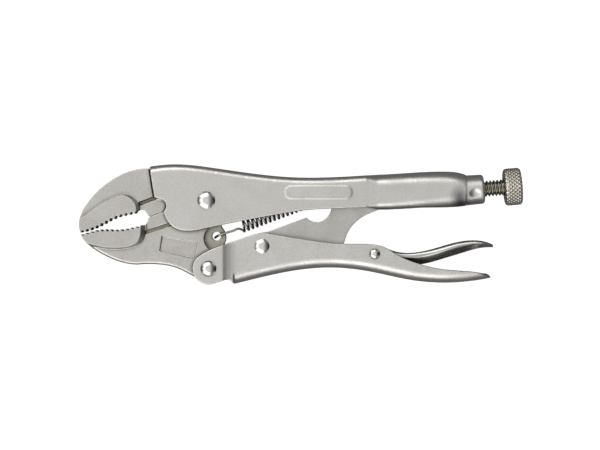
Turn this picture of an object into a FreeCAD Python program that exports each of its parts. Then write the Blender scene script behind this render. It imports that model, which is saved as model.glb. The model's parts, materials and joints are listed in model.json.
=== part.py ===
import FreeCAD, Part
import math
import os

# Locking pliers of the 7 inch size, with curved toothed jaws and a wire cutter, shown locked shut.
#
# The tool is drawn lying on its side: X runs along it (nose towards -X), Y across it (upper handle
# towards +Y) and Z through its thickness. While it is drawn, the origin is the main pivot at mid
# thickness. At the end every piece moves by the same amount, so that the origin is at the bottom
# centre of the whole tool's box. All lengths are in millimetres and all angles in degrees.

V = FreeCAD.Vector

# ---- pivots: places in the plane of the tool ----
MAIN_PIVOT = (0.0, 0.0)           # lower jaw on the upper handle
JAW_PIVOT = (0.84, -27.24)        # lower handle on the lower jaw
LINK_PIVOT = (22.2, -18.28)       # toggle link on the lower handle
LEVER_PIVOT = (67.2, -21.32)      # release lever on the lower handle
SPRING_EYE = (3.92, -14.28)       # hole for the opening spring's front hook
SPRING_LUG = (50.6, 3.3)          # end of the spring, against a lug under the upper handle's web
TAIL_CENTRE = (75.8, 1.8)         # centre of the toggle link's round tail, on the screw's axis
SCREW_TILT = 4.6                  # slope of the screw's axis

# ---- reaches: how far the main members run from the main pivot ----
NOSE_REACH = 50.84                # to the tip of the jaws
TUBE_REACH = 111.2                # to the end of the upper handle's neck
LOWER_HANDLE_REACH = 114.0        # to the tail of the lower handle
LEVER_REACH = 115.4               # to the tip of the release lever

# ---- thicknesses ----
SHEET = 1.8                       # steel of both handles
BEND = 3.0                        # outer radius of the upper handle's bends
LOWER_BEND = 4.5                  # outer radius of the lower handle's bends
CHANNEL_INNER = 8.8               # width inside the upper handle and the lower handle's ears
BODY_INNER = 6.2                  # width inside the lower handle behind its step
JAW_CLEARANCE = 0.2               # each side of the lower jaw in the channel
FIT_CLEARANCE = 0.05              # each side of the upper jaw's tang, and round every rivet shank
LINK_CLEARANCE = 0.3              # each side of the link and the lever in the lower handle
NOSE_THICKNESS = 12.4             # toothed nose of both jaws
CHEEK_THICKNESS = 10.0            # upper jaw between its nose and the handle
SPRING_EAR_THICKNESS = 4.0
LEVER_SHEET = 1.4

# ---- fits and gaps between the pieces ----
CUTTER_GAP = 0.25                 # between the closed cutter blades, and between the closed noses
SWEEP_GAP = 0.4                   # between what the lower jaw sweeps and the upper jaw
SCREW_GAP = 3.2                   # between the screw's tip and the link's tail

# ---- pins, screw and spring ----
MAIN_SHANK = 3.0                  # radii of the rivets' shanks and heads
MAIN_HEAD = 3.57
JAW_SHANK = 2.4
JAW_HEAD = 3.2
LINK_SHANK = 2.2
LINK_HEAD = 3.0
LEVER_SHANK = 1.5
LEVER_HEAD = 2.2
MAIN_DOME = 1.3                   # heights of the rivets' domed heads
SMALL_DOME = 1.0
SCREW_RADIUS = 3.3
INSERT_WALL = 1.0                 # steel round the screw in the threaded insert
INSERT_LENGTH = 10.0
SCREW_STICK_OUT = 8.1             # from the neck's end to the knob
KNOB_RADIUS = 7.5
KNOB_LENGTH = 6.9
KNOB_ROUND = 1.3
STEM_RADIUS = 2.6                 # turned-down end of the screw inside the knob
SPRING_RADIUS = 2.55
WIRE = 0.9
SPRING_EYE_RADIUS = 1.75

# ---- teeth ----
TOOTH_PITCH = 2.05
TOOTH_DEPTH = 1.1

# ---- the curved nose is drawn for this reach, and stretched from the throat to reach further ----
DRAWN_REACH = 50.84
THROAT_X = -24.0

# ---- worked out from the values above ----
CHANNEL_HALF = CHANNEL_INNER / 2
HANDLE_HALF = CHANNEL_HALF + SHEET
BODY_HALF = BODY_INNER / 2 + SHEET
JAW_HALF = CHANNEL_HALF - JAW_CLEARANCE
TANG_HALF = CHANNEL_HALF - FIT_CLEARANCE
LINK_HALF = BODY_INNER / 2 - LINK_CLEARANCE
NECK_X = TUBE_REACH - 7.5
FAR = 60.0


# ---- drawing helpers ----

def polar(centre, radius, angle):
    """The point at a distance and direction from a centre."""
    turn = math.radians(angle)
    return (centre[0] + radius * math.cos(turn), centre[1] + radius * math.sin(turn))


def shifted(point, dx, dy):
    return (point[0] + dx, point[1] + dy)


def nose(x, y):
    """A point of the jaws, stretched with NOSE_REACH if it lies in front of the throat."""
    if x > THROAT_X:
        return (x, y)
    stretch = (NOSE_REACH + THROAT_X) / (DRAWN_REACH + THROAT_X)
    return (THROAT_X + (x - THROAT_X) * stretch, y)


def on_axis(distance, side=0.0):
    """The point at a distance along the screw's axis from the link's tail, and to its left."""
    along = polar(TAIL_CENTRE, distance, SCREW_TILT)
    return polar(along, side, SCREW_TILT + 90)


def axis_distance(x):
    """How far along the screw's axis it reaches a given x."""
    return (x - TAIL_CENTRE[0]) / math.cos(math.radians(SCREW_TILT))


def spline(points):
    """A smooth curve through points of the XY plane."""
    smooth = Part.BSplineCurve()
    smooth.interpolate([V(x, y, 0) for x, y in points])
    return smooth


def face_of(start, *steps):
    """A flat face. Each step runs on from the last point and is ("line", point, ...), which is
    straight from point to point, ("arc", middle, end) or ("curve", point, ...)."""
    edges = []
    last = start
    for kind, *points in steps + (("line", start),):
        if kind == "line":
            for point in points:
                if math.dist(point, last) > 1e-6:
                    edges.append(Part.makeLine(V(*last, 0), V(*point, 0)))
                last = point
            continue
        if kind == "arc":
            edges.append(Part.Arc(V(*last, 0), V(*points[0], 0), V(*points[1], 0)).toShape())
        if kind == "curve":
            edges.append(spline([last] + points).toShape())
        last = points[-1]
    return Part.Face(Part.Wire(edges))


def polygon(*points):
    return face_of(points[0], ("line", *points[1:]))


def plate(face, half):
    """A face made a slab that reaches half its thickness each side of mid plane."""
    solid = face.extrude(V(0, 0, 2 * half))
    solid.translate(V(0, 0, -half))
    return solid


def layers(face, low, high):
    """Two slabs, one each side of mid plane, between the heights low and high."""
    upper = face.extrude(V(0, 0, high - low))
    upper.translate(V(0, 0, low))
    return upper.fuse(upper.mirror(V(0, 0, 0), V(0, 0, 1)))


def standing(face):
    """A prism below y = 0 on a face whose points (x, y) are taken as (x, z)."""
    prism = face.extrude(V(0, 0, FAR))
    prism.rotate(V(0, 0, 0), V(1, 0, 0), 90)
    return prism


def disc(centre, radius):
    return Part.Face(Part.Wire(Part.makeCircle(radius, V(*centre, 0))))


def drum(centre, radius, half):
    return Part.makeCylinder(radius, 2 * half, V(*centre, -half))


def groove(start, end, width, floor):
    """A straight flat-bottomed groove in both sides of a piece, down to the height floor."""
    angle = math.degrees(math.atan2(end[1] - start[1], end[0] - start[0]))
    turns = ((start, 90), (end, 90), (end, -90), (start, -90))
    corners = [polar(place, width / 2, angle + turn) for place, turn in turns]
    return layers(polygon(*corners), floor, FAR)


def long_edges(solid, low_y, high_y):
    """The long edges along a solid's two sides whose middles lie between two heights."""
    found = []
    for edge in solid.Edges:
        middle = edge.valueAt((edge.FirstParameter + edge.LastParameter) / 2)
        at_side = abs(abs(middle.z) - solid.BoundBox.ZMax) < 1e-6
        if at_side and edge.Length > 20 and low_y < middle.y < high_y:
            found.append(edge)
    return found


def rounded_top(radius, half, height):
    """A dome over mid plane's +Z side: a cap of a sphere of the given base radius and height."""
    ball = (radius ** 2 + height ** 2) / (2 * height)
    sphere = Part.makeSphere(ball, V(0, 0, half + height - ball))
    return sphere.common(Part.makeCylinder(radius, height, V(0, 0, half)))


def rivet(centre, shank, head, half, dome):
    """A rivet with a domed head on each side."""
    pin = drum((0, 0), shank, half)
    top = rounded_top(head, half, dome)
    solid = pin.fuse([top, top.mirror(V(0, 0, 0), V(0, 0, 1))]).removeSplitter()
    solid.translate(V(*centre, 0))
    return solid


def along_screw(radius, start, end):
    """A cylinder on the screw's axis."""
    direction = V(math.cos(math.radians(SCREW_TILT)), math.sin(math.radians(SCREW_TILT)), 0)
    return Part.makeCylinder(radius, end - start, V(*on_axis(start), 0), direction)


# ---- upper handle: a folded channel in front, rolled into a tube behind ----

# The crest of the back, from in front of the jaw's shoulder to where the tube starts
BACK = [(-32.0, 12.0), (-22.8, 13.6), (-13.4, 14.5), (1.0, 13.3), (17.0, 11.0), (36.2, 9.24),
        (50.6, 9.35), (64.0, 10.1)]
TUBE_X = 64.0                     # where the channel's lower edges start to curl in
LAP = 0.03                        # the tube's start lies this far inside the channel's skin
ROLL_X = 68.5                     # where they are fully rolled
ROLL_TOP = 5.0                    # radii of the tube's edges where it starts
ROLL_LOW = 3.5
SLOT_X = 86.0                     # where the link's slot under the tube starts to close
NECK_ROUND = 5.9                  # radius of all its edges at the neck
NECK_RADIUS = 6.1                 # radii of the neck where it starts and at its mouth
MOUTH_RADIUS = 5.85
MOUTH_CHAMFER = 0.7
STAKE_RADIUS = 4.0                # ball that makes the dents in the neck
STAKE_FLOOR = 4.95                # height of the dents' floors over mid plane
PANEL = (31.5, 58.0, 0.7, 5.7)    # left, right, low and high sides of the raised panels
PANEL_RISE = 0.25
BLADE_CENTRE = (-19.1, -2.2)      # round rear end of the upper cutter blade
BLADE_ROUND = 2.75
PANEL_ROOT = 0.2                  # how deep the raised panels reach into the steel


def back_slab(inset):
    """All that lies under the handle's back, or under the inner face of its steel."""
    back = [shifted(p, 0, -inset) for p in BACK]
    low = (BACK[0][0], -FAR)
    face = face_of(low, ("line", back[0]), ("curve", *back[1:]), ("line", (TUBE_X, -FAR)))
    slab = plate(face, HANDLE_HALF - inset)
    return slab.makeFillet(BEND - inset, long_edges(slab, 0, FAR))


def side_trim():
    """The side view of the channel: front edge, notch round the cutter, and lower edge."""
    notch = BLADE_ROUND + CUTTER_GAP
    return face_of(
        (-22.95, FAR),
        ("line", (-22.8, 13.6), (-20.8, 1.5), polar(BLADE_CENTRE, notch, 100)),
        ("arc", polar(BLADE_CENTRE, notch, 25), polar(BLADE_CENTRE, notch, -50)),
        ("curve", (-16.5, -6.3), (-15.2, -8.6), (-13.3, -10.5), (-10.2, -11.8), (-6.5, -12.1),
         (0.0, -11.0)),
        ("curve", (14.2, -8.1), (26.5, -5.9), (39.7, -3.8), (49.6, -3.2), (TUBE_X, -2.6)),
        ("line", (TUBE_X, FAR)),
    )


def hoop(x, top, bottom, half, top_round, low_round, inset):
    """One cross-section of the tube: a rounded box across the X axis."""
    top, bottom, half = top - inset, bottom + inset, half - inset
    upper, lower = top_round - inset, max(low_round - inset, 0.3)
    slant = math.sqrt(0.5)
    stops = []
    corners = ((top, 1, upper), (top, -1, upper), (bottom, -1, lower), (bottom, 1, lower))
    for side_y, side_z, radius in corners:
        rise = 1 if side_y == top else -1
        centre_y, centre_z = side_y - rise * radius, side_z * (half - radius)
        over = V(x, side_y, centre_z)
        beside = V(x, centre_y, side_z * half)
        middle = V(x, centre_y + rise * radius * slant, centre_z + side_z * radius * slant)
        stops.append((over, middle, beside) if rise != side_z else (beside, middle, over))
    edges = []
    for (_, _, before), corner in zip(stops[-1:] + stops[:-1], stops):
        edges.append(Part.makeLine(before, corner[0]))
        edges.append(Part.Arc(*corner).toShape())
    return Part.Wire(edges)


def swelling(inset):
    """The rolled rear as a slab with round edges that grow towards the neck."""
    swell = NECK_X - 8.5
    top = [(ROLL_X, 10.38), (ROLL_X + 8, 10.8), (swell, 11.65), (NECK_X - 4, 11.4), (NECK_X, 10.4)]
    low = [(NECK_X, -2.15), (NECK_X - 4, -2.6), (swell, -2.85), (ROLL_X + 8, -3.65), (ROLL_X, -3.8)]
    top = [shifted(p, 0, -inset) for p in top]
    low = [shifted(p, 0, inset) for p in low]
    side = face_of(top[0], ("curve", *top[1:]), ("line", low[0]), ("curve", *low[1:]))
    slab = plate(side, HANDLE_HALF - inset)
    end = NECK_ROUND - inset
    slab = slab.makeFillet(ROLL_TOP - inset, end, long_edges(slab, 5, FAR))
    return slab.makeFillet(end, ROLL_LOW - inset, long_edges(slab, -FAR, 2))


def tube(inset):
    """The rolled rear of the handle: the lower edges curl in, then it swells towards the neck."""
    half = HANDLE_HALF - LAP
    open_end = hoop(TUBE_X - 0.3, 10.1 - LAP, LAP - 2.6, half, BEND, 0.5, inset)
    rolled_end = hoop(ROLL_X + 0.3, 10.38 - LAP, LAP - 3.8, half, ROLL_TOP, ROLL_LOW, inset)
    return Part.makeLoft([open_end, rolled_end], True, True).fuse(swelling(inset))


def neck():
    """The end of the tube, tapered a little, with a chamfered mouth."""
    start, end = axis_distance(NECK_X) - 1.5, axis_distance(TUBE_REACH)
    direction = V(math.cos(math.radians(SCREW_TILT)), math.sin(math.radians(SCREW_TILT)), 0)
    cone = Part.makeCone(NECK_RADIUS, MOUTH_RADIUS, end - start, V(*on_axis(start), 0), direction)
    rim = [e for e in cone.Edges if len(e.Vertexes) == 1 and e.CenterOfMass.x > NECK_X + 2]
    return cone.makeChamfer(MOUTH_CHAMFER, rim)


def side_panel():
    """A plain raised panel on each side of the channel."""
    left, right, low, high = PANEL
    side = polygon((left, low), (right, low), (right, high), (left, high))
    panel = layers(side, HANDLE_HALF - PANEL_ROOT, HANDLE_HALF + PANEL_RISE)
    upright = [e for e in panel.Edges if abs(e.tangentAt(e.FirstParameter).z) > 0.9]
    return panel.makeFillet((high - low) / 2 - 0.2, upright)


def stake_marks():
    """A shallow dent in each side of the neck, where the insert is staked."""
    centre = V(NECK_X + 3.7, 2.2, STAKE_FLOOR + STAKE_RADIUS)
    ball = Part.makeSphere(STAKE_RADIUS, centre, V(0, 1, 0))
    return ball.fuse(ball.mirror(V(0, 0, 0), V(0, 0, 1)))


def upper_handle():
    channel = back_slab(0).cut(back_slab(SHEET)).common(plate(side_trim(), FAR))
    rear = tube(0).fuse(neck())
    room = Part.makeBox(NECK_X - 1 - TUBE_X, 2 * FAR, 2 * FAR, V(TUBE_X - 1, -FAR, -FAR))
    slot = LINK_HALF + LINK_CLEARANCE
    mouth = [(TUBE_X - 1, CHANNEL_HALF), (TUBE_X + 7, slot), (SLOT_X, slot), (NECK_X - 5, 0.4)]
    mouth += [(x, -z) for x, z in reversed(mouth)]
    seat_start, seat_end = axis_distance(NECK_X) - 6, axis_distance(TUBE_REACH) + 1
    seat = along_screw(SCREW_RADIUS + INSERT_WALL, seat_start, seat_end)
    rear = rear.cut([tube(SHEET).common(room), standing(polygon(*mouth)), seat])
    solid = channel.fuse(rear)
    lug_start = V(SPRING_LUG[0] + WIRE / 2 + 0.02, SPRING_LUG[1] - 0.7, -1.2)
    lug = Part.makeBox(1.8, 5.0, 2.4, lug_start)
    solid = solid.fuse([lug, side_panel()])
    return solid.cut([drum(MAIN_PIVOT, MAIN_SHANK, FAR), stake_marks()]).removeSplitter()


# ---- jaws ----

UPPER_TIPS = [nose(-50.2, -13.05), nose(-46.5, -12.1), nose(-42.2, -10.4), nose(-38.2, -8.2),
              nose(-34.2, -6.6), nose(-30.6, -5.8), nose(-28.6, -5.4)]
LOWER_TIPS = [nose(-50.2, -13.05 - CUTTER_GAP), nose(-46.5, -12.1 - CUTTER_GAP), nose(-43.5, -11.6),
              nose(-40.0, -11.45), nose(-36.0, -11.5), nose(-32.5, -11.25), nose(-29.5, -10.65),
              nose(-26.2, -9.85)]
BOSS_RADIUS = 9.0                 # lower jaw round the main pivot
BELLY_ROUND = 1.3                 # forged edge under the lower jaw
RECESS_CENTRE = (4.4, -15.1)      # round recess that leaves the spring's ear
RECESS_RADIUS = 5.45
GROOVE_DEPTH = 0.9                # in both jaws, in front of the cutter
BLADE_DEPTH = 0.3                 # how far both cutter blades lie below the jaws' sides
PLAQUE_DEPTH = 0.5
JAW_SHOULDER = (-23.1, 12.8)      # top rear corner of the upper jaw's cheek, in front of the handle


def teeth(tips, side):
    """A row of teeth: tips on a smooth curve, roots TOOTH_DEPTH to one side of it."""
    row = spline(tips)
    count = round(row.length() / TOOTH_PITCH)
    points = [tips[0]]
    for half_step in range(1, 2 * count + 1):
        place = row.parameterAtDistance(row.length() * half_step / (2 * count), row.FirstParameter)
        at = row.value(place)
        ahead = row.tangent(place)[0]
        depth = TOOTH_DEPTH * side if half_step % 2 else 0
        points.append((at.x - ahead.y * depth, at.y + ahead.x * depth))
    return points


def upper_jaw_face():
    return face_of(
        UPPER_TIPS[0],
        ("line", *teeth(UPPER_TIPS, 1)),
        ("line", nose(-28.0, -4.3)),
        ("curve", nose(-26.3, -3.7), nose(-25.0, -4.0), (-23.8, -5.2), (-23.0, -6.4)),
        ("line", polar(BLADE_CENTRE, BLADE_ROUND, -73)),
        ("arc", polar(BLADE_CENTRE, BLADE_ROUND, -24), polar(BLADE_CENTRE, BLADE_ROUND, 25)),
        ("line", polar(MAIN_PIVOT, BOSS_RADIUS + SWEEP_GAP, 160)),
        ("arc", polar(MAIN_PIVOT, BOSS_RADIUS + SWEEP_GAP, 138),
         polar(MAIN_PIVOT, BOSS_RADIUS + SWEEP_GAP, 115)),
        ("line", (-4.2, 20.0), (JAW_SHOULDER[0], 20.0), JAW_SHOULDER),
        ("curve", nose(-31.0, 11.6), nose(-40.6, 6.3), nose(-47.0, -0.15), nose(-50.84, -8.6),
         UPPER_TIPS[0]),
    )


def raised_nose(body, foot, top, low):
    """A jaw's toothed nose: thicker than the rest, with walls that slope from foot to top."""
    block = plate(foot, low)
    cap = Part.makeLoft([wire_at(foot, low), wire_at(top, NOSE_THICKNESS / 2)], True, True)
    block = block.fuse([cap, cap.mirror(V(0, 0, 0), V(0, 0, 1))])
    return block.common(plate(body, NOSE_THICKNESS / 2))


def wire_at(face, height):
    wire = face.OuterWire.copy()
    wire.translate(V(0, 0, height))
    return wire


def upper_nose_face(slope):
    """Side view of the upper jaw's raised nose, drawn in by the slope of its end."""
    return face_of(
        nose(-70, -6.2),
        ("line", nose(-50.2, -6.8)),
        ("curve", nose(-46.8, -5.0), nose(-43.6, -2.6), nose(-39.2, 0.0), nose(-33.4, 2.3 - 0.1 * slope)),
        ("curve", nose(-29.9 - 0.6 * slope, 1.6 - 0.5 * slope), nose(-27.4 - slope, -0.9 - 0.2 * slope),
         nose(-26.8 - slope, -4.0)),
        ("line", nose(-26.8 - slope, -20.0), nose(-70, -20.0)),
    )


def upper_jaw():
    body = upper_jaw_face()
    core = plate(body, TANG_HALF)
    behind = Part.makeBox(2 * FAR, 2 * FAR, 2 * FAR, V(JAW_SHOULDER[0], -FAR, -FAR))
    tang = core.common(behind).common(back_slab(SHEET + FIT_CLEARANCE))
    core = core.cut(behind).fuse(tang)
    front = polygon((-2 * FAR, FAR), (JAW_SHOULDER[0], FAR), JAW_SHOULDER, (-21.35, 1.6), (-27.0, -0.6),
                    (-27.0, -FAR), (-2 * FAR, -FAR))
    cheek = plate(body, CHEEK_THICKNESS / 2).common(plate(front, FAR))
    block = raised_nose(body, upper_nose_face(0), upper_nose_face(1.2), CHEEK_THICKNESS / 2)
    blade = polygon((-27.0, -2.2), (-20.4, 0.4), (-15.6, 0.4), (-15.6, -7.0), (-27.0, -7.0))
    return core.fuse([cheek, block]).cut([
        groove((-27.0, -1.5), (-19.6, 1.35), 1.2, TANG_HALF - GROOVE_DEPTH),
        layers(blade, TANG_HALF - BLADE_DEPTH, CHEEK_THICKNESS / 2 - 0.01).cut(block),
    ]).removeSplitter()


def lower_jaw_face():
    sweep = BLADE_ROUND + CUTTER_GAP + 0.05
    eye = 5.6
    return face_of(
        LOWER_TIPS[0],
        ("curve", nose(-49.3, -15.2), nose(-46.7, -18.2), nose(-40.6, -22.1), nose(-34.2, -24.7),
         nose(-27.8, -25.7)),
        ("curve", (-18.2, -25.7), (-11.8, -27.1), (-5.4, -30.3), polar(JAW_PIVOT, eye, -128)),
        ("arc", polar(JAW_PIVOT, eye, -55), polar(JAW_PIVOT, eye, 22)),
        ("curve", (5.7, -21.2), (7.0, -17.7), (7.8, -15.1), (7.4, -12.8), (6.0, -10.6)),
        ("line", polar(MAIN_PIVOT, BOSS_RADIUS, -50)),
        ("arc", polar(MAIN_PIVOT, BOSS_RADIUS, 54), polar(MAIN_PIVOT, BOSS_RADIUS, 163)),
        ("line", polar(BLADE_CENTRE, sweep, 15)),
        ("arc", polar(BLADE_CENTRE, sweep, -29), polar(BLADE_CENTRE, sweep, -73)),
        ("line", (-23.0, -6.4 - CUTTER_GAP)),
        ("curve", (-23.25, -7.5), (-23.8, -8.8), nose(-24.7, -9.9)),
        ("line", *reversed(teeth(LOWER_TIPS, -1))),
    )


def lower_nose_face(slope):
    """Side view of the lower jaw's raised nose, drawn in by the slope of its end."""
    edge = 0.3 * slope
    return face_of(
        nose(-70, -16.8 + edge),
        ("line", nose(-47.3, -17.6 + edge)),
        ("curve", nose(-41.4, -19.0 + edge), nose(-36.2, -19.3 + edge), nose(-30.6, -18.7 + edge),
         nose(-26.6 - 0.6 * slope, -17.3 + edge)),
        ("curve", nose(-24.9 - slope, -15.2 + edge), nose(-24.5 - slope, -12.5),
         nose(-24.6 - slope, -9.0)),
        ("line", nose(-24.6 - slope, 0.0), nose(-70, 0.0)),
    )


def lower_jaw():
    body = lower_jaw_face()
    block = raised_nose(body, lower_nose_face(0), lower_nose_face(1.7), JAW_HALF)
    ear = layers(disc(RECESS_CENTRE, RECESS_RADIUS), SPRING_EAR_THICKNESS / 2, FAR)
    blade = polygon((-23.9, -11.9), (-14.4, -8.7), (-14.4, -2.0), (-17.0, -2.0), (-24.4, -5.0))
    plaque = polygon((-17.8, -14.0), (-3.6, -16.8), (-5.0, -23.4), (-18.8, -20.2))
    slab = plate(body, JAW_HALF)
    slab = slab.makeFillet(BELLY_ROUND, long_edges(slab, -FAR, -18))
    return slab.cut([
        ear,
        layers(blade, JAW_HALF - BLADE_DEPTH, FAR),
        layers(plaque, JAW_HALF - PLAQUE_DEPTH, FAR),
        groove((-25.5, -13.15), (-13.0, -9.0), 1.4, JAW_HALF - GROOVE_DEPTH),
        drum(MAIN_PIVOT, MAIN_SHANK + FIT_CLEARANCE, FAR),
        drum(JAW_PIVOT, JAW_SHANK + FIT_CLEARANCE, FAR),
        drum(SPRING_EYE, SPRING_EYE_RADIUS, FAR),
    ]).fuse(block).removeSplitter()


# ---- lower handle: a channel open towards the upper handle, its front ears set wider ----

JOGGLE = (6.4, 12.9)              # where the ears step in to the narrower body
WEB_X = 10.8                      # front corner of the channel's web
LOWER_EDGE = [(10.8, -33.5), (22.0, -30.75), (36.0, -27.95), (50.6, -26.9), (66.0, -28.6),
              (82.6, -32.0)]
TAIL_X = 74.0                     # behind this the handle is drawn for the reach below, and stretched
DRAWN_TAIL_REACH = 114.0


def tail(x, y):
    """A point of the lower handle, moved with its reach if it lies in the tail."""
    if x < TAIL_X:
        return (x, y)
    stretch = (LOWER_HANDLE_REACH - TAIL_X) / (DRAWN_TAIL_REACH - TAIL_X)
    return (TAIL_X + (x - TAIL_X) * stretch, y)


def lower_side_face():
    """Side view of the lower handle."""
    eye = 6.4
    bottom = [tail(*p) for p in reversed(LOWER_EDGE)]
    return face_of(
        polar(JAW_PIVOT, eye, 139),
        ("curve", (2.3, -19.35), (11.5, -16.1), (18.6, -13.7), (22.2, -13.0), (26.4, -13.45),
         (39.7, -15.7), (54.6, -17.4), (66.5, -17.6), (70.6, -18.4), (tail(76, 0)[0], -21.5), tail(84.0, -25.0),
         tail(95.6, -27.7), tail(106.0, -28.5), tail(111.5, -29.3)),
        ("curve", tail(113.6, -30.2), tail(114.0, -30.9), tail(113.2, -31.4)),
        ("curve", tail(108.2, -32.0), tail(98.6, -32.9), tail(90.0, -32.8), *bottom),
        ("line", (9.9, -32.5)),
        ("curve", (8.8, -31.75), (6.4, -32.1), polar(JAW_PIVOT, eye, -62)),
        ("arc", polar(JAW_PIVOT, eye, 210), polar(JAW_PIVOT, eye, 139)),
    )


def trough(inset):
    """All that lies above the channel's web, or above the web's inner face."""
    rear = [(90.0, -32.8), (98.6, -32.9), (108.2, -32.0), (118.0, -30.0)]
    web = [shifted(tail(*p), 0, inset) for p in LOWER_EDGE + rear]
    face = face_of((WEB_X, 0), ("line", web[0]), ("curve", *web[1:]), ("line", (web[-1][0], 0)))
    slab = plate(face, BODY_HALF - inset)
    return slab.makeFillet(LOWER_BEND - inset, long_edges(slab, -FAR, -20))


def seam(x):
    """Height at which the ears' straight walls meet the round bends of the web."""
    return LOWER_EDGE[0][1] + LOWER_BEND + 0.25 * (x - WEB_X)


def ear_walls():
    """The two front walls, straight over the lower jaw and then easing in to the body."""
    shares = [i / 4 for i in range(5)]
    drop = HANDLE_HALF - BODY_HALF
    outer = [(JOGGLE[0] + (JOGGLE[1] - JOGGLE[0]) * s, BODY_HALF + drop * (1 - s) ** 2) for s in shares]
    inner = [shifted(p, 0, -SHEET) for p in reversed(outer)]
    end = JOGGLE[1] + 1
    wall = standing(face_of(
        (-10, HANDLE_HALF),
        ("line", outer[0]),
        ("curve", *outer[1:]),
        ("line", (end, BODY_HALF), (end, BODY_HALF - SHEET), inner[0]),
        ("curve", *inner[1:]),
        ("line", (-10, HANDLE_HALF - SHEET)),
    ))
    above_web = polygon((-20, -FAR), (WEB_X + 0.1, -FAR), (WEB_X + 0.1, seam(WEB_X)), (14, seam(14)),
                        (14, 0), (-20, 0))
    wall = wall.common(plate(above_web, FAR))
    return wall.fuse(wall.mirror(V(0, 0, 0), V(0, 0, 1)))


def lower_plan():
    """The lower handle seen from its open side: wide ears, and a tail that narrows to a round tip."""
    start, end = LOWER_HANDLE_REACH - 9, LOWER_HANDLE_REACH
    body = face_of(
        (-20, BODY_HALF),
        ("line", (start, BODY_HALF)),
        ("curve", (start + 6, 3.6), (end, 0.0)),
        ("curve", (start + 6, -3.6), (start, -BODY_HALF)),
        ("line", (-20, -BODY_HALF)),
    )
    ears = polygon((-20, FAR), (JOGGLE[1], FAR), (JOGGLE[1], -FAR), (-20, -FAR))
    return standing(body).fuse(standing(ears))


def lower_handle():
    channel = trough(0).cut(trough(SHEET))
    ahead = Part.makeBox(JOGGLE[1] + 0.5, FAR, 2 * FAR, V(0, -FAR, -FAR))
    over_seam = plate(polygon((0, 0), (30, 0), (30, seam(30)), (0, seam(0))), FAR)
    walls = channel.cut(ahead.common(over_seam))
    solid = walls.fuse(ear_walls()).common(plate(lower_side_face(), FAR)).common(lower_plan())
    return solid.cut([
        drum(JAW_PIVOT, JAW_SHANK, FAR),
        drum(LINK_PIVOT, LINK_SHANK, FAR),
        drum(LEVER_PIVOT, LEVER_SHANK, FAR),
    ]).removeSplitter()


# ---- toggle link: a flat bar from the lower handle to the screw ----

TAIL_RADIUS = 2.8


def toggle_link():
    boss = 5.4
    body = face_of(
        polar(LINK_PIVOT, boss, 110),
        ("line", (24.9, -12.35), (39.9, -6.85)),
        ("curve", (41.6, -8.1), (44.0, -8.7), (46.4, -8.2), (48.6, -6.4), (49.9, -3.6)),
        ("curve", (51.2, -1.6), (54.0, -0.6), (60.0, 0.9), (68.0, 3.2),
         polar(TAIL_CENTRE, TAIL_RADIUS, 100)),
        ("arc", polar(TAIL_CENTRE, TAIL_RADIUS, 10), polar(TAIL_CENTRE, TAIL_RADIUS, -70)),
        ("curve", (72.0, -2.6), (68.5, -3.9), (63.2, -6.1), (59.6, -8.7), (56.9, -12.0), (55.6, -15.0),
         (54.8, -17.8)),
        ("curve", (53.0, -19.0), (48.0, -19.6), (36.0, -21.8), polar(LINK_PIVOT, boss, -80)),
        ("arc", polar(LINK_PIVOT, boss, 195), polar(LINK_PIVOT, boss, 110)),
    )
    return plate(body, LINK_HALF).cut(drum(LINK_PIVOT, LINK_SHANK + FIT_CLEARANCE, FAR))


# ---- release lever: folded sheet, open below, nested in the lower handle ----

NEST_X = 88.0                     # the lever lies inside the lower handle in front of this
PAD_WIDENING = 1.8                # each side, from the narrow part to the thumb pad
THUMB_X = 80.0                    # behind this the lever is drawn for the reach below, and stretched
DRAWN_LEVER_REACH = 115.4


def lever_tail(x, y):
    """A point of the release lever's tail, moved with its reach."""
    stretch = (LEVER_REACH - THUMB_X) / (DRAWN_LEVER_REACH - THUMB_X)
    return (THUMB_X + (x - THUMB_X) * stretch, y)


def lever_face(inset):
    """Side view of the lever, or of the hollow under its steel."""
    if inset:
        crest = [(59.0, -21.5), (64.0, -19.8), (68.8, -19.5), (72.6, -20.9), (80.7, -22.5),
                 lever_tail(85.8, -22.0), lever_tail(90.8, -21.0), lever_tail(96.0, -19.5),
                 lever_tail(101.0, -18.2), lever_tail(106.0, -17.6)]
        end = lever_tail(109.0, -FAR)
        return face_of((58.0, -FAR), ("line", crest[0]), ("curve", *crest[1:]), ("line", end))
    return face_of(
        (46.2, -24.6),
        ("curve", (45.4, -23.9), (46.2, -23.2)),
        ("curve", (52.0, -22.6), (57.0, -21.4), (63.0, -18.7), (66.5, -18.0), (70.2, -18.5), (75.4, -20.3),
         (80.7, -21.0), lever_tail(85.7, -20.5), lever_tail(90.6, -19.4), lever_tail(95.6, -17.9),
         lever_tail(100.6, -16.6), lever_tail(106.8, -15.9), lever_tail(112.2, -16.6),
         lever_tail(115.2, -17.9)),
        ("curve", lever_tail(115.4, -18.5), lever_tail(114.6, -18.8)),
        ("curve", lever_tail(108.9, -19.2), lever_tail(102.2, -21.1), lever_tail(95.6, -23.1),
         lever_tail(90.6, -24.6), lever_tail(86.0, -25.6), (78.0, -25.6), (70.0, -25.0), (60.0, -24.4),
         (46.2, -24.6)),
    )


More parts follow.
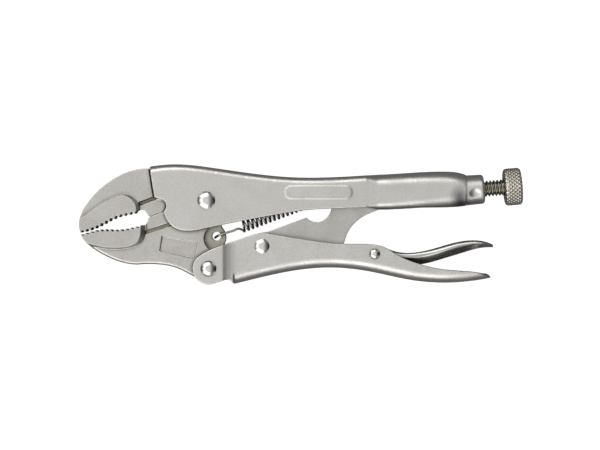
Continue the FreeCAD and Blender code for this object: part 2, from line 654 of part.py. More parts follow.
def lever_plan(inset):
    """The lever seen from above: narrow in the handle, wider at the thumb pad."""
    narrow, wide = LINK_HALF - inset, LINK_HALF + PAD_WIDENING - inset
    start, full = lever_tail(95.5, 0)[0], lever_tail(103.0, 0)[0]
    middle, half = (start + full) / 2, (narrow + wide) / 2
    return standing(face_of(
        (30, narrow),
        ("line", (start, narrow)),
        ("curve", (middle, half), (full, wide)),
        ("curve", (LEVER_REACH - 3.5, wide - 0.6), (LEVER_REACH, 0)),
        ("curve", (LEVER_REACH - 3.5, 0.6 - wide), (full, -wide)),
        ("curve", (middle, -half), (start, -narrow)),
        ("line", (30, -narrow)),
    ))


def release_lever():
    outer = plate(lever_face(0), FAR).common(lever_plan(0))
    in_front = Part.makeBox(NEST_X + FAR, 2 * FAR, 2 * FAR, V(-FAR, -FAR, -FAR))
    nested = outer.common(in_front).common(trough(SHEET + LINK_CLEARANCE))
    outer = outer.cut(in_front).fuse(nested).removeSplitter()
    hollow = plate(lever_face(LEVER_SHEET), FAR).common(lever_plan(LEVER_SHEET))
    return outer.cut([hollow, drum(LEVER_PIVOT, LEVER_SHANK + FIT_CLEARANCE, FAR)]).removeSplitter()


# ---- adjusting screw, knob and insert ----

KNOB_AT = axis_distance(TUBE_REACH) + SCREW_STICK_OUT


def adjusting_screw():
    tip = TAIL_RADIUS + SCREW_GAP
    rod = along_screw(SCREW_RADIUS, tip, KNOB_AT - 0.1)
    ends = [e for e in rod.Edges if len(e.Vertexes) == 1]
    rod = rod.makeChamfer(0.8, [min(ends, key=lambda e: e.CenterOfMass.x)])
    return rod.fuse(along_screw(STEM_RADIUS, KNOB_AT - 1, KNOB_AT + KNOB_LENGTH - 2)).removeSplitter()


def screw_knob():
    knob = along_screw(KNOB_RADIUS, KNOB_AT, KNOB_AT + KNOB_LENGTH)
    rims = [e for e in knob.Edges if len(e.Vertexes) == 1]
    knob = knob.makeFillet(KNOB_ROUND, rims)
    return knob.cut(along_screw(STEM_RADIUS + FIT_CLEARANCE, KNOB_AT - 1, KNOB_AT + KNOB_LENGTH - 1.8))


def threaded_insert():
    end = axis_distance(TUBE_REACH) - 0.6
    sleeve = along_screw(SCREW_RADIUS + INSERT_WALL, end - INSERT_LENGTH, end)
    return sleeve.cut(along_screw(SCREW_RADIUS + FIT_CLEARANCE, end - INSERT_LENGTH - 1, end + 1))


# ---- opening spring, as the plain shape that its coils fill ----

COIL_START = (13.9, -10.6)
COIL_END = (43.5, 0.5)


def wire_between(start, end):
    """A straight round wire between two points in space, with rounded ends."""
    run = V(*end) - V(*start)
    wire = Part.makeCylinder(WIRE / 2, run.Length, V(*start), run)
    return wire.fuse([Part.makeSphere(WIRE / 2, V(*start)), Part.makeSphere(WIRE / 2, V(*end))])


def opening_spring():
    start, run = V(*COIL_START, 0), V(*COIL_END, 0) - V(*COIL_START, 0)
    ahead = run * (WIRE / run.Length)
    outside = Part.makeCylinder(SPRING_RADIUS, run.Length, start, run)
    inside = Part.makeCylinder(SPRING_RADIUS - WIRE, run.Length - 2 * WIRE, start + ahead, run)
    over_ear = SPRING_EAR_THICKNESS / 2 + WIRE / 2 + 0.3
    eye = shifted(SPRING_EYE, 0.7, 0.3)
    hook = wire_between((*eye, -over_ear), (*eye, over_ear))
    leg = wire_between((*eye, over_ear), (*shifted(COIL_START, 0.3, 0.1), SPRING_RADIUS - WIRE / 2))
    tail_wire = wire_between((*shifted(COIL_END, -0.4, -0.15), 0), (*SPRING_LUG, 0))
    return outside.cut(inside).fuse([hook, leg, tail_wire]).removeSplitter()


def pieces():
    return {
        "upper_handle": upper_handle(),
        "upper_jaw": upper_jaw(),
        "lower_jaw": lower_jaw(),
        "lower_handle": lower_handle(),
        "toggle_link": toggle_link(),
        "release_lever": release_lever(),
        "adjusting_screw": adjusting_screw(),
        "screw_knob": screw_knob(),
        "threaded_insert": threaded_insert(),
        "opening_spring": opening_spring(),
        "main_pivot_rivet": rivet(MAIN_PIVOT, MAIN_SHANK, MAIN_HEAD, HANDLE_HALF, MAIN_DOME),
        "jaw_lever_rivet": rivet(JAW_PIVOT, JAW_SHANK, JAW_HEAD, HANDLE_HALF, MAIN_DOME),
        "link_rivet": rivet(LINK_PIVOT, LINK_SHANK, LINK_HEAD, BODY_HALF, SMALL_DOME),
        "release_lever_rivet": rivet(LEVER_PIVOT, LEVER_SHANK, LEVER_HEAD, BODY_HALF, SMALL_DOME),
    }


def main():
    os.makedirs("parts", exist_ok=True)
    tool = pieces()
    whole = Part.Compound(list(tool.values())).optimalBoundingBox(False, False)
    to_origin = V(-whole.Center.x, -whole.Center.y, -whole.ZMin)
    for name, solid in tool.items():
        solid.translate(to_origin)
        solid.exportStep(f"parts/{name}.step")


main()
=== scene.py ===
import bpy
import json
import math
import numpy as np
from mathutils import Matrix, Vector


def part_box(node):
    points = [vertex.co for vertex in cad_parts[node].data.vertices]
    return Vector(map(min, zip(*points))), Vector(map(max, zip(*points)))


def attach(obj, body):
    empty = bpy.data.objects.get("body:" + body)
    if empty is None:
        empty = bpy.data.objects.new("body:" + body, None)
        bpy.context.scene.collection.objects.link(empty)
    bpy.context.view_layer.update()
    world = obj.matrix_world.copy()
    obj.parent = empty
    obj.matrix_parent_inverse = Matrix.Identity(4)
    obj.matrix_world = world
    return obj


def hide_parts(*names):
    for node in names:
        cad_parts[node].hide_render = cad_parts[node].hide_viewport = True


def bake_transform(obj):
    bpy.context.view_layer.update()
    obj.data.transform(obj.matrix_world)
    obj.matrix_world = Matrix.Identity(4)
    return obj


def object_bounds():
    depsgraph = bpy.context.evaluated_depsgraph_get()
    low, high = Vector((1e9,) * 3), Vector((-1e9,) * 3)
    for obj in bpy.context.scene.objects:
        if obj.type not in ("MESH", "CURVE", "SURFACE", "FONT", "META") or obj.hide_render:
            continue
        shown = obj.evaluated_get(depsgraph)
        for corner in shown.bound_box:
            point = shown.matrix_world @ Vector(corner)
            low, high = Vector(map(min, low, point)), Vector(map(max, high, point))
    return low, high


# Locking pliers lying on a pale table, seen from straight above. Everything is in metres, in the
# frame of the CAD model: X runs along the tool (nose towards -X), Y across it and Z up.

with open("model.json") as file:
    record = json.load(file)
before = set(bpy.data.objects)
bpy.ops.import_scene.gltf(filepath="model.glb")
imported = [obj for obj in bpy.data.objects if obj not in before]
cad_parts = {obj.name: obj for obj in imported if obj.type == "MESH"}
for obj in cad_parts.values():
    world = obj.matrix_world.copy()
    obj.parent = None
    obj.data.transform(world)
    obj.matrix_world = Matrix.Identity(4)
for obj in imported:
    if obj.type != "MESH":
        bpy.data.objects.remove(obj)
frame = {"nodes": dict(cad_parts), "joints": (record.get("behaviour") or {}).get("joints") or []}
cad_low, cad_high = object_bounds()
nodes = frame["nodes"]
MM = 0.001

# ---- framing ----
FRAME_SHARE = 1.357               # width of the picture against the tool's length
LENS = 135.0                      # in millimetres, on a sensor of SENSOR millimetres
SENSOR = 36.0
AIM = Vector((-0.53 * MM, -0.24 * MM, 0))   # the picture's centre against the tool's


def joint_named(name):
    return next(j for j in frame["joints"] if j["name"] == name)


PIVOT = Vector(joint_named("jaw_hinge")["pos_m"])
AXIS_POINT = Vector(joint_named("knob_turn")["pos_m"])
AXIS = Vector(joint_named("knob_turn")["axis"]).normalized()


def near_pivot(x, y, z=0.0):
    """A point given in millimetres from the main pivot at mid thickness."""
    return PIVOT + Vector((x, y, z)) * MM


# ---- materials ----

def value_node(tree, kind, inputs=(), **settings):
    """A shader node with its settings and unlinked inputs filled in, or linked if they are sockets."""
    node = tree.nodes.new("ShaderNode" + kind)
    for name, value in settings.items():
        setattr(node, name, value)
    for key, value in dict(inputs).items():
        if isinstance(value, bpy.types.NodeSocket):
            tree.links.new(value, node.inputs[key])
        else:
            node.inputs[key].default_value = value
    return node


def noise(tree, place, size, detail=2.0, rough=0.5, stretch=(1, 1, 1)):
    """Noise whose blobs are about size metres across."""
    scaled = value_node(tree, "Mapping", {"Vector": place, "Scale": stretch}).outputs["Vector"]
    return value_node(tree, "TexNoise", {
        "Vector": scaled, "Scale": 1 / size, "Detail": detail, "Roughness": rough,
    }).outputs["Fac"]


def ramp(tree, fac, low, high, to_low, to_high):
    """The value, spread from the range low..high to the range to_low..to_high."""
    return value_node(tree, "MapRange", {
        "Value": fac, "From Min": low, "From Max": high, "To Min": to_low, "To Max": to_high,
    }).outputs["Result"]


def smooth_step(tree, value, low, high, to_low=0.0, to_high=1.0):
    """The value eased from the range low..high to the range to_low..to_high."""
    return value_node(tree, "MapRange", {
        "Value": value, "From Min": low, "From Max": high, "To Min": to_low, "To Max": to_high,
    }, interpolation_type="SMOOTHSTEP").outputs["Result"]


def combine(tree, operation, *values):
    """The result of a Math node."""
    return value_node(tree, "Math", dict(enumerate(values)), operation=operation).outputs["Value"]


def blend_colours(tree, fac, first, second, mode="MIX"):
    mix = value_node(tree, "Mix", data_type="RGBA", blend_type=mode)
    for key, value in ((0, fac), (6, first), (7, second)):
        if isinstance(value, bpy.types.NodeSocket):
            tree.links.new(value, mix.inputs[key])
        else:
            mix.inputs[key].default_value = value
    return mix.outputs[2]


def spot(tree, place, centre, half_long, half_wide, turn=0.0, soft=0.08, square=False):
    """1 inside an oval or a rectangle of the tool's side, 0 outside. centre is in millimetres from
    the main pivot."""
    local = value_node(tree, "Mapping", {
        "Vector": place, "Location": near_pivot(*centre), "Rotation": (0, 0, math.radians(turn)),
        "Scale": (half_long * MM, half_wide * MM, 1),
    }, vector_type="TEXTURE").outputs["Vector"]
    parts = value_node(tree, "SeparateXYZ", {"Vector": local})
    if square:
        sides = [combine(tree, "ABSOLUTE", parts.outputs[axis]) for axis in ("X", "Y")]
        reach = combine(tree, "MAXIMUM", *sides)
    else:
        flat = value_node(tree, "CombineXYZ", {"X": parts.outputs["X"], "Y": parts.outputs["Y"]})
        length = value_node(tree, "VectorMath", {0: flat.outputs["Vector"]}, operation="LENGTH")
        reach = length.outputs["Value"]
    return ramp(tree, reach, 1 - soft, 1 + soft, 1, 0)


def metal(name, colour, stain, roughness, spread, grain, grain_size, corner_shade=0.5, edge_wear_and_highlight=0.5, spots=()):
    """Plated or polished steel.

    colour and stain are the plating's lightest and darkest tints, roughness its mean and spread the
    range it wanders over. grain is the height in metres of the blasted surface's bumps and
    grain_size their width. dirt is the strength of the painted shade that darkens corners, and wear
    lightens edges, partly as worn steel and partly as a painted highlight. Each of spots is
    (colour, strength, place and size for spot()).
    """
    made = bpy.data.materials.new(name)
    made.use_nodes = True
    tree = made.node_tree
    shader = tree.nodes["Principled BSDF"]
    shader.inputs["Metallic"].default_value = 1.0
    place = value_node(tree, "TexCoord").outputs["Object"]
    cloudy = noise(tree, place, CLOUD, 4.0, 0.55)
    speck = noise(tree, place, grain_size, 3.0, 0.6)
    fine = noise(tree, place, grain_size / 3, 2.0, 0.5)
    tint = blend_colours(tree, ramp(tree, cloudy, 0.3, 0.7, 0, 1), (*stain, 1), (*colour, 1))
    mottle = ramp(tree, speck, 0.3, 0.7, *MOTTLE)
    tint = blend_colours(tree, 1.0, tint, mottle, "MULTIPLY")
    for stained, strength, where in spots:
        mask = ramp(tree, spot(tree, place, **where), 0, 1, 0, strength)
        tint = blend_colours(tree, mask, tint, (*stained, 1))
    # painted shade: the colour is darkened where ambient occlusion finds walls close by
    corner = value_node(tree, "AmbientOcclusion", {"Distance": CORNER}, samples=6).outputs["AO"]
    corner_shade_mask = ramp(tree, corner, *OPEN_AIR, corner_shade, 0)
    tint = blend_colours(tree, corner_shade_mask, tint, (*CORNER_SHADE_COLOUR, 1))
    # painted highlight, partly edge wear: sharp convex edges found by pointiness are lightened and
    # made smoother
    edge = value_node(tree, "NewGeometry").outputs["Pointiness"]
    bright = ramp(tree, edge, *SHARPNESS, 0, edge_wear_and_highlight)
    tint = blend_colours(tree, bright, tint, (*WORN_AND_HIGHLIT_EDGE, 1))
    tree.links.new(tint, shader.inputs["Base Color"])
    rough = ramp(tree, cloudy, 0.3, 0.7, roughness + spread, roughness - spread)
    worn = combine(tree, "MULTIPLY", rough, ramp(tree, bright, 0, 1, 1, WORN_ROUGHNESS))
    tree.links.new(worn, shader.inputs["Roughness"])
    height = combine(tree, "ADD", speck, fine)
    bump = value_node(tree, "Bump", {"Strength": 1.0, "Distance": grain, "Height": height})
    tree.links.new(bump.outputs["Normal"], shader.inputs["Normal"])
    return made


CLOUD = 9 * MM                    # width of the plating's lighter and darker clouds
MOTTLE = (0.86, 1.06)             # darkest and lightest speck against the tint
CORNER = 1.8 * MM                 # how near a wall has to be for painted shade to darken the colour
OPEN_AIR = (0.5, 0.94)            # share of open directions: fully in painted shade, and free of it
SHARPNESS = (0.525, 0.59)         # pointiness at which an edge's painted highlight and worn look start, and are full
# colour of worn edges, partly a painted highlight
WORN_AND_HIGHLIT_EDGE = (0.86, 0.85, 0.83)
WORN_ROUGHNESS = 0.6              # a fully worn edge's roughness, as a share

# Each finish: lightest and darkest tint, roughness and how far it wanders, and the height and width
# of the grain
SATIN = ((0.69, 0.675, 0.645), (0.62, 0.60, 0.565), 0.36, 0.05, 0.012 * MM, 0.55 * MM)
FORGED = ((0.62, 0.605, 0.57), (0.53, 0.51, 0.475), 0.40, 0.05, 0.014 * MM, 0.6 * MM)
CAST = ((0.58, 0.57, 0.54), (0.50, 0.49, 0.46), 0.42, 0.05, 0.016 * MM, 0.6 * MM)
CHROME = ((0.56, 0.555, 0.54), (0.44, 0.43, 0.41), 0.2, 0.04, 0.005 * MM, 0.5 * MM)
POLISHED = ((0.78, 0.77, 0.75), (0.70, 0.69, 0.67), 0.21, 0.03, 0.002 * MM, 0.4 * MM)
WIRE = ((0.42, 0.41, 0.39), (0.30, 0.29, 0.27), 0.30, 0.05, 0.003 * MM, 0.3 * MM)
SCREW = ((0.62, 0.59, 0.49), (0.47, 0.44, 0.35), 0.28, 0.05, 0.004 * MM, 0.3 * MM)
KNOB = ((0.68, 0.63, 0.56), (0.56, 0.52, 0.45), 0.26, 0.05, 0.004 * MM, 0.3 * MM)

# Marks on the steel: a painted shade colour for corners, oil residue in the recesses and a painted
# shade on the rolled shoulder, and where they are
# colour of the painted shade in corners and at steps
CORNER_SHADE_COLOUR = (0.12, 0.115, 0.085)
OLIVE = (0.30, 0.285, 0.20)       # oil and plating residue in the recesses
SHADE = (0.09, 0.09, 0.10)        # painted shade on the handle's shoulder where the tube is rolled in
LOWER_GROOVE = dict(centre=(-19.2, -11.1), half_long=6.7, half_wide=0.75, turn=18.4, square=True)
UPPER_GROOVE = dict(centre=(-23.3, -0.1), half_long=4.3, half_wide=0.65, turn=21.1, square=True)
EAR_RECESS = dict(centre=(4.4, -15.1), half_long=5.5, half_wide=5.5)
ROLLED_SHOULDER_SHADE = dict(centre=(101.2, 0.3), half_long=2.7, half_wide=3.8, turn=12, soft=0.7)


def finish_table():
    """The material of each CAD node, by name."""
    # the upper handle's rolled shoulder gets a painted shade patch
    upper = metal("satin_nickel", *SATIN, corner_shade=0.75, edge_wear_and_highlight=0.7, spots=[(SHADE, 0.9, ROLLED_SHOULDER_SHADE)])
    lower = metal("satin_nickel_lower", *SATIN, corner_shade=0.75, edge_wear_and_highlight=0.7)
    cheek = metal("forged_nickel", *FORGED, corner_shade=1.0, edge_wear_and_highlight=0.6, spots=[(OLIVE, 0.8, UPPER_GROOVE)])
    jaw = metal("forged_nickel_lower", *FORGED, corner_shade=1.0, edge_wear_and_highlight=0.6,
                spots=[(OLIVE, 0.8, LOWER_GROOVE), (OLIVE, 0.55, EAR_RECESS)])
    link = metal("cast_nickel", *CAST)
    lever = metal("bright_chrome", *CHROME)
    rivet = metal("polished_steel", *POLISHED)
    spring = metal("spring_wire", *WIRE)
    screw = metal("screw_nickel", *SCREW, corner_shade=1.0)
    knob = metal("knob_nickel", *KNOB, corner_shade=1.0, edge_wear_and_highlight=0.9)
    return {
        "upper_handle": upper, "lower_handle": lower, "upper_jaw": cheek, "lower_jaw": jaw,
        "toggle_link": link, "release_lever": lever, "main_pivot_rivet": rivet,
        "jaw_lever_rivet": rivet, "link_rivet": rivet, "release_lever_rivet": rivet,
        "opening_spring": spring, "adjusting_screw": screw, "screw_knob": knob,
        "threaded_insert": screw,
    }


def paint_nodes(finishes):
    for name, node in nodes.items():
        node.data.materials.clear()
        node.data.materials.append(finishes[name])


# ---- edges: every struck, cast or sheared edge is a little round ----

# For each node, the voxel in millimetres and the number of smoothing passes
EDGES = {"upper_handle": (0.22, 14), "lower_handle": (0.2, 14), "upper_jaw": (0.18, 7),
         "lower_jaw": (0.18, 7), "toggle_link": (0.18, 7)}


def soften(name, voxel, passes):
    """Rounds a node's edges by about a voxel, with modifiers only."""
    node = nodes[name]
    weld = node.modifiers.new("weld", "WELD")
    weld.merge_threshold = 1e-7
    remesh = node.modifiers.new("remesh", "REMESH")
    remesh.mode = "VOXEL"
    remesh.voxel_size = voxel
    remesh.use_smooth_shade = True
    smooth = node.modifiers.new("smooth", "SMOOTH")
    smooth.factor = 0.5
    smooth.iterations = passes


# ---- folded, turned and coiled pieces, each in place of a plainer CAD solid ----

def turned(name):
    """Where a round CAD node starts and ends along the screw's axis, and its vertices' places
    along it and distances from it."""
    points = np.array([v.co for v in nodes[name].data.vertices]) - np.array(AXIS_POINT)
    along = points @ np.array(AXIS)
    away = np.linalg.norm(points - np.outer(along, np.array(AXIS)), axis=1)
    return along.min(), along.max(), along, away


def grid_mesh(name, rows, material, body, replaced):
    """A mesh skinned over rings of points, all of the same length, with its ends closed."""
    around = len(rows[0])
    points = [tuple(p) for row in rows for p in row]
    faces = []
    for i in range(len(rows) - 1):
        for j in range(around):
            k = (j + 1) % around
            faces.append((i * around + j, i * around + k, (i + 1) * around + k, (i + 1) * around + j))
    faces.append(tuple(reversed(range(around))))
    faces.append(tuple(range(len(points) - around, len(points))))
    data = bpy.data.meshes.new(name)
    data.from_pydata(points, [], faces)
    data.polygons.foreach_set("use_smooth", [True] * len(data.polygons))
    data.materials.append(material)
    made = bpy.data.objects.new(name, data)
    bpy.context.scene.collection.objects.link(made)
    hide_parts(replaced)
    if body:
        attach(made, body)
    return made


def ring_round_axis(along, radii):
    """Points round the screw's axis, one for each radius, evenly spaced."""
    up = Vector((0, 0, 1))
    side = up.cross(AXIS)
    ring = []
    for i, radius in enumerate(radii):
        turn = 2 * math.pi * i / len(radii)
        ring.append(AXIS_POINT + AXIS * along + (side * math.cos(turn) + up * math.sin(turn)) * radius)
    return ring


SLICE_HEIGHTS = (0.3, 1.3, 2.3, 3.3, 4.0)     # in millimetres over mid thickness


def slices(name, start, end, count):
    """The lowest and highest Y of a node's outline at evenly spaced places along X."""
    found = []
    for i in range(count + 1):
        x = start + (end - start) * i / count
        bottoms = [y for y in (first_hit(name, x, 1, z * MM) for z in SLICE_HEIGHTS) if y is not None]
        tops = [y for y in (first_hit(name, x, -1, z * MM) for z in SLICE_HEIGHTS) if y is not None]
        if bottoms and tops:
            found.append((x, min(bottoms), max(tops)))
    return found


def first_hit(name, x, way, z):
    """The Y where a ray along +Y or -Y first meets a node, at a height over mid thickness."""
    start = Vector((x, -way * 0.1, PIVOT.z + z))
    hit, place, _, _ = nodes[name].ray_cast(start, Vector((0, way, 0)))
    return place.y if hit else None


LEVER_SHEET = 1.4 * MM
LEVER_HALF = 2.75 * MM            # half width in the handle, and at the thumb pad
PAD_HALF = 4.5 * MM
PAD_START = 0.55                  # where the pad widens, as shares of the lever's length
PAD_FULL = 0.78
LEVER_ROWS = 150
LEVER_INSET = 0.05 * MM           # the outermost sections, in from the CAD lever's ends
LEVER_TIP = 0.07                  # share of the length over which the tip narrows
LEVER_LEAST = 0.4 * MM            # half width of the narrowest section
SHEET_SHARE = 0.4                 # most of a section's height that the sheet takes
SLOT_SHARE = 0.05                 # least half width of the hollow, against the section's

# The folded sheet's outside from the middle of its crest to its lower rim, as shares of its half
# width and of its height: round at the top, widest at a ridge, then drawn in below it
LEVER_OUTSIDE = [(0.0, 0.0), (0.58, 0.01), (0.74, 0.03), (0.85, 0.08), (0.93, 0.16), (0.98, 0.26),
                 (1.0, 0.36), (0.94, 0.43), (0.79, 0.56), (0.60, 0.72), (0.43, 0.88), (0.35, 0.97),
                 (0.31, 1.0)]


def lever_section(height, half):
    """Half of the folded sheet's outline as (distance from mid plane, depth below the crest)."""
    outside = [(share * half, depth * height) for share, depth in LEVER_OUTSIDE]
    steel = min(LEVER_SHEET, SHEET_SHARE * height)
    inside = []
    for side, depth in reversed(outside[1:-1]):
        inner = max(side - steel, SLOT_SHARE * half)
        inside.append((inner, max(depth, steel)))
    return outside, inside + [(0.0, steel)]


def release_lever(material):
    """The lever's folded sheet: a ridge along each side, drawn in below it, open underneath."""
    low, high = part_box("release_lever")
    start, end = low.x + LEVER_INSET, high.x - LEVER_INSET
    rows = []
    for x, bottom, top in slices("release_lever", start, end, LEVER_ROWS):
        share = (x - start) / (end - start)
        widen = min(max((share - PAD_START) / (PAD_FULL - PAD_START), 0.0), 1.0)
        half = LEVER_HALF + (PAD_HALF - LEVER_HALF) * widen * widen * (3 - 2 * widen)
        half *= min(1.0, math.sqrt(max(1 - share, 0.0) / LEVER_TIP))
        half = max(half, LEVER_LEAST)
        outside, inside = lever_section(top - bottom, half)
        loop = outside + inside
        ring = [(x, top - depth, PIVOT.z + side) for side, depth in loop]
        ring += [(x, top - depth, PIVOT.z - side) for side, depth in reversed(loop[1:-1])]
        rows.append(ring)
    made = grid_mesh("folded_lever", rows, material, "trigger", "release_lever")
    round_off = made.modifiers.new("rounded", "SUBSURF")
    round_off.levels = 1
    round_off.render_levels = 1


THREAD_PITCH = 1.411 * MM
THREAD_DEPTH = 0.78 * MM
THREAD_COLUMNS = 48
THREAD_ROWS_PER_TURN = 14
CREST_SHARE = 0.12                # the flat crest, and the flank, as shares of half a pitch
FLANK_SHARE = 0.68
SCREW_POINT = 0.9 * MM            # length and depth of the chamfer on the tip
SCREW_COLLAR = 1.0 * MM           # the run of shallow thread under the knob
COLLAR_RADIUS = 0.93              # as a share of the thread's


def thread_radius(outer, place, turn_share):
    """Radius of a 60 degree thread with flat crests and roots."""
    phase = (place / THREAD_PITCH - turn_share) % 1.0
    flank = (abs(2 * phase - 1) - CREST_SHARE) / FLANK_SHARE
    return outer - THREAD_DEPTH * min(max(flank, 0.0), 1.0)


def adjusting_screw(material):
    """The screw's thread, and the plain stem that goes into the knob."""
    low, high, along, away = turned("adjusting_screw")
    outer = away.max()
    shoulder = along[away > 0.95 * outer].max()
    stem = away[along > high - 0.01 * MM].max()
    count = round((shoulder - low) / THREAD_PITCH * THREAD_ROWS_PER_TURN)
    rows = []
    for i in range(count + 1):
        place = low + (shoulder - low) * i / count
        point = outer - max(0.0, SCREW_POINT - (place - low))
        radii = []
        for j in range(THREAD_COLUMNS):
            radius = thread_radius(outer, place, j / THREAD_COLUMNS)
            if place > shoulder - SCREW_COLLAR:
                radius = max(radius, outer * COLLAR_RADIUS)
            radii.append(min(radius, point))
        rows.append(ring_round_axis(place, radii))
    rows.append(ring_round_axis(shoulder, [stem] * THREAD_COLUMNS))
    rows.append(ring_round_axis(high, [stem] * THREAD_COLUMNS))
    grid_mesh("threaded_screw", rows, material, "screw", "adjusting_screw")


KNURLS = 28
KNURL_COLUMNS = KNURLS * 10
KNURL_DEPTH = 0.42 * MM
KNURL_SLOPE = 1.05                # length of a diamond against its width
KNURL_LAND = 0.8                  # how far up from a cut its flank reaches, as a share
KNURL_EDGE = 0.12                 # where the knurl starts and is full, in rims from an end
KNURL_RUN = 0.4
KNOB_RIM = 1.3 * MM               # radius of the knob's rounded edges
RIM_STEPS = 7
KNOB_DISH = 0.35 * MM             # depth of the hollow in its end
KNOB_ROW = 0.13 * MM              # spacing of the sections along the knurl


def knurl(place, turn_share, radius):
    """Depth below the knob's skin, from 0 at a diamond's point to KNURL_DEPTH in the cuts."""
    width = 2 * math.pi * radius / KNURLS
    lean = place / (width * KNURL_SLOPE)
    across = turn_share * KNURLS
    heights = [abs(2 * ((across + side * lean) % 1.0) - 1) for side in (1, -1)]
    return KNURL_DEPTH * (1 - min(min(heights) / KNURL_LAND, 1.0))


def knob_profile(low, high, outer):
    """(place, radius) along the knob: a flat end, two rounded edges and a dished end."""
    turns = [math.pi / 2 * i / RIM_STEPS for i in range(RIM_STEPS + 1)]
    flat = high - low - 2 * KNOB_RIM
    count = round(flat / KNOB_ROW)
    floor_at = high - KNOB_DISH
    return ([(low, 0.45 * outer), (low, 0.6 * outer)]
            + [(low + KNOB_RIM * (1 - math.cos(turn)), outer - KNOB_RIM * (1 - math.sin(turn)))
               for turn in turns]
            + [(low + KNOB_RIM + flat * i / count, outer) for i in range(1, count)]
            + [(high - KNOB_RIM * (1 - math.sin(turn)), outer - KNOB_RIM * (1 - math.cos(turn)))
               for turn in turns]
            + [(high, 0.72 * outer), (floor_at, 0.66 * outer), (floor_at, 0.2 * outer),
               (floor_at, 0.02 * outer)])


def screw_knob(material):
    """The knob with diamond knurling round its side."""
    low, high, _, away = turned("screw_knob")
    outer = away.max()
    rows = []
    for place, radius in knob_profile(low, high, outer):
        inner = min(place - low, high - place) / KNOB_RIM
        on_side = radius > 0.8 * outer
        share = min(max((inner - KNURL_EDGE) / KNURL_RUN, 0.0), 1.0) if on_side else 0.0
        radii = [radius - share * knurl(place, j / KNURL_COLUMNS, outer) for j in range(KNURL_COLUMNS)]
        rows.append(ring_round_axis(place, radii))
    grid_mesh("knurled_knob", rows, material, "knob", "screw_knob")


COIL_START = (13.9, -10.6)        # the spring's coils, in millimetres from the main pivot
COIL_END = (43.5, 0.5)
COIL_RADIUS = 2.1                 # to the middle of the wire
COIL_PITCH = 1.81
WIRE_RADIUS = 0.45
TURN_POINTS = 16                  # points of the wire's path in each coil
WIRE_COLUMNS = 12                 # points round the wire
HOOK_STEPS = 8                    # points between each two of a hook's
FRONT_HOOK = [(3.2, -14.9, -1.6), (3.75, -14.55, -0.4), (4.1, -14.3, 1.2), (5.2, -13.85, 2.62),
              (7.6, -13.0, 2.7), (10.6, -12.1, 2.55), (12.6, -11.3, 2.3)]
REAR_HOOK = [(45.2, 1.1, 1.7), (47.0, 2.1, 1.0), (48.6, 2.9, 0.3), (50.4, 3.3, 0.0)]


def smooth_run(points, steps):
    """A Catmull-Rom curve through the points."""
    padded = [points[0], *points, points[-1]]
    found = []
    for a, b, c, d in zip(padded, padded[1:], padded[2:], padded[3:]):
        for i in range(steps):
            t = i / steps
            found.append(0.5 * (2 * b + (c - a) * t + (2 * a - 5 * b + 4 * c - d) * t ** 2
                                + (3 * b - a - 3 * c + d) * t ** 3))
    return found + [points[-1]]


def coil_points():
    """The helix from COIL_START to COIL_END, starting and ending on top."""
    start, end = near_pivot(*COIL_START), near_pivot(*COIL_END)
    along = (end - start).normalized()
    side = Vector((0, 0, 1)).cross(along)
    turns = round((end - start).length / (COIL_PITCH * MM))
    found = []
    count = turns * TURN_POINTS
    for i in range(count + 1):
        turn = 2 * math.pi * i / TURN_POINTS
        away = Vector((0, 0, 1)) * math.cos(turn) - side * math.sin(turn)
        found.append(start + (end - start) * i / count + away * COIL_RADIUS * MM)
    return found


def tube_rings(path, radius):
    """Rings across a path, each turned as little as possible from the last one."""
    rings = []
    across = Vector((0, 0, 1))
    for i, point in enumerate(path):
        ahead = (path[min(i + 1, len(path) - 1)] - path[max(i - 1, 0)]).normalized()
        across = (across - ahead * across.dot(ahead)).normalized()
        beside = ahead.cross(across)
        turns = [2 * math.pi * j / WIRE_COLUMNS for j in range(WIRE_COLUMNS)]
        rings.append([point + (across * math.cos(turn) + beside * math.sin(turn)) * radius
                      for turn in turns])
    return rings


def opening_spring(material):
    """The wound wire from the jaw's ear to the handle, with a hook at each end."""
    coil = coil_points()
    front = smooth_run([near_pivot(*p) for p in FRONT_HOOK] + [coil[2]], HOOK_STEPS)
    rear = smooth_run([coil[-3]] + [near_pivot(*p) for p in REAR_HOOK], HOOK_STEPS)
    path = front + coil[3:-3] + rear
    rings = tube_rings(path, WIRE_RADIUS * MM)
    made = grid_mesh("wire_spring", rings, material, None, "opening_spring")
    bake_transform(made)


# ---- stage ----

SOFTBOX_AWAY = 0.8                # metres from the tool, on the table and above it
SOFTBOX_UP = 0.75
LONG_SOFTBOX = (1.3, 0.6, 1.9)    # width, height, brightness
SMALL_SOFTBOX = (0.5, 0.5, 1.0)
TABLE_SIDE = 3.0
TABLE_PAPER = 0.25
TABLE_GLOW = 0.96
TABLE_SEEN_BY_STEEL = 0.18


def panel_light(name, place, width, height, level):
    """A softbox aimed at the tool, as bright to look at as level."""
    data = bpy.data.lights.new(name, "AREA")
    data.shape = "RECTANGLE"
    data.size = width
    data.size_y = height
    data.energy = level * math.pi * width * height
    lamp = bpy.data.objects.new(name, data)
    lamp.location = place
    lamp.rotation_euler = (-Vector(place)).to_track_quat("-Z", "Y").to_euler()
    lamp.visible_camera = False
    bpy.context.scene.collection.objects.link(lamp)


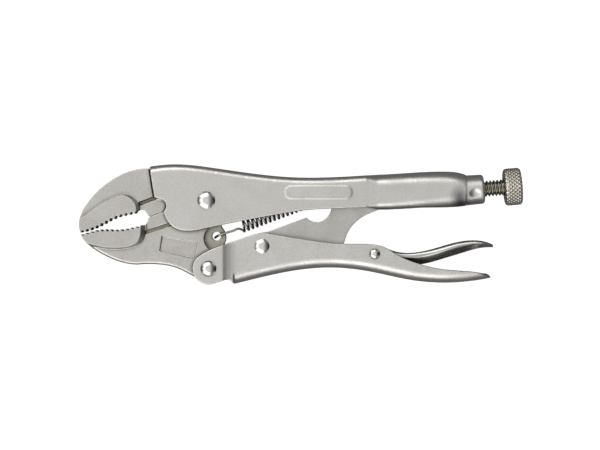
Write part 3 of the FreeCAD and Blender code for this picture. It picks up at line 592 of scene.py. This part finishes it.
def studio():
    """A room with a grey ceiling that darkens to the right, dark walls with a lit card in front and
    a lit panel in each corner, and softboxes on three sides."""
    world = bpy.data.worlds.new("studio")
    bpy.context.scene.world = world
    world.use_nodes = True
    tree = world.node_tree
    direction = value_node(tree, "TexCoord").outputs["Generated"]
    parts = value_node(tree, "SeparateXYZ", {"Vector": direction})
    x, y, z = (parts.outputs[axis] for axis in "XYZ")
    ceiling = smooth_step(tree, z, 0.30, 0.85, 0.10, 0.82)
    right = smooth_step(tree, x, 0.12, 0.75, 1.0, 0.15)
    upper = combine(tree, "MULTIPLY", ceiling, right)
    in_front = smooth_step(tree, y, -0.9, -0.75, 0.8, 0.0)
    card = combine(tree, "MULTIPLY", in_front, smooth_step(tree, z, 0.14, 0.30))
    ends = smooth_step(tree, combine(tree, "ABSOLUTE", x), 0.35, 0.6, 0.0, 0.7)
    sides = smooth_step(tree, combine(tree, "ABSOLUTE", y), 0.3, 0.5)
    band_low = smooth_step(tree, z, 0.08, 0.2)
    band_high = smooth_step(tree, z, 0.32, 0.5, 1.0, 0.0)
    corners = combine(tree, "MULTIPLY", ends, sides)
    band = combine(tree, "MULTIPLY", band_low, band_high)
    level = combine(tree, "MAXIMUM", upper, card)
    level = combine(tree, "MAXIMUM", level, combine(tree, "MULTIPLY", corners, band))
    seen = value_node(tree, "LightPath").outputs["Is Camera Ray"]
    shown = value_node(tree, "Mix", data_type="FLOAT")
    tree.links.new(seen, shown.inputs[0])
    tree.links.new(level, shown.inputs[2])
    shown.inputs[3].default_value = 1.0
    background = tree.nodes["Background"]
    background.inputs["Color"].default_value = (1, 1, 1, 1)
    tree.links.new(shown.outputs[0], background.inputs["Strength"])
    left = -SOFTBOX_AWAY / 2
    panel_light("top_softbox", (left, SOFTBOX_AWAY, SOFTBOX_UP), *LONG_SOFTBOX)
    panel_light("bottom_softbox", (left, -SOFTBOX_AWAY, SOFTBOX_UP), *LONG_SOFTBOX)
    panel_light("left_softbox", (-SOFTBOX_AWAY, 0, SOFTBOX_UP), *SMALL_SOFTBOX)


def floor():
    """A pale table, which the tool's steel sees as grey."""
    data = bpy.data.meshes.new("table")
    corners = [(-1, -1), (1, -1), (1, 1), (-1, 1)]
    points = [(x * TABLE_SIDE, y * TABLE_SIDE, cad_low.z) for x, y in corners]
    data.from_pydata(points, [], [(0, 1, 2, 3)])
    table = bpy.data.objects.new("table", data)
    bpy.context.scene.collection.objects.link(table)
    made = bpy.data.materials.new("pale_table")
    made.use_nodes = True
    tree = made.node_tree
    tree.nodes.remove(tree.nodes["Principled BSDF"])
    paper = value_node(tree, "BsdfDiffuse", {"Color": (*[TABLE_PAPER] * 3, 1)}).outputs["BSDF"]
    glow = value_node(tree, "Emission", {"Color": (1, 1, 1, 1), "Strength": TABLE_GLOW})
    bright = value_node(tree, "AddShader")
    tree.links.new(paper, bright.inputs[0])
    tree.links.new(glow.outputs["Emission"], bright.inputs[1])
    dim = value_node(tree, "BsdfDiffuse", {"Color": (*[TABLE_SEEN_BY_STEEL] * 3, 1)}).outputs["BSDF"]
    choose = value_node(tree, "MixShader")
    tree.links.new(value_node(tree, "LightPath").outputs["Is Camera Ray"], choose.inputs[0])
    tree.links.new(dim, choose.inputs[1])
    tree.links.new(bright.outputs[0], choose.inputs[2])
    tree.links.new(choose.outputs[0], tree.nodes["Material Output"].inputs["Surface"])
    data.materials.append(made)


def camera():
    """Straight above the tool, far enough for the picture to be FRAME_SHARE as wide as the tool."""
    data = bpy.data.cameras.new("camera")
    data.lens = LENS
    data.sensor_width = SENSOR
    view = bpy.data.objects.new("camera", data)
    bpy.context.scene.collection.objects.link(view)
    centre = (cad_low + cad_high) / 2 + AIM
    width = (cad_high.x - cad_low.x) * FRAME_SHARE
    view.location = centre + Vector((0, 0, width * LENS / SENSOR))
    bpy.context.scene.camera = view


finishes = finish_table()
paint_nodes(finishes)
for part, (voxel, passes) in EDGES.items():
    soften(part, voxel * MM, passes)
release_lever(finishes["release_lever"])
adjusting_screw(finishes["adjusting_screw"])
screw_knob(finishes["screw_knob"])
opening_spring(finishes["opening_spring"])
camera()
floor()
studio()
bpy.context.scene.view_settings.view_transform = "Standard"
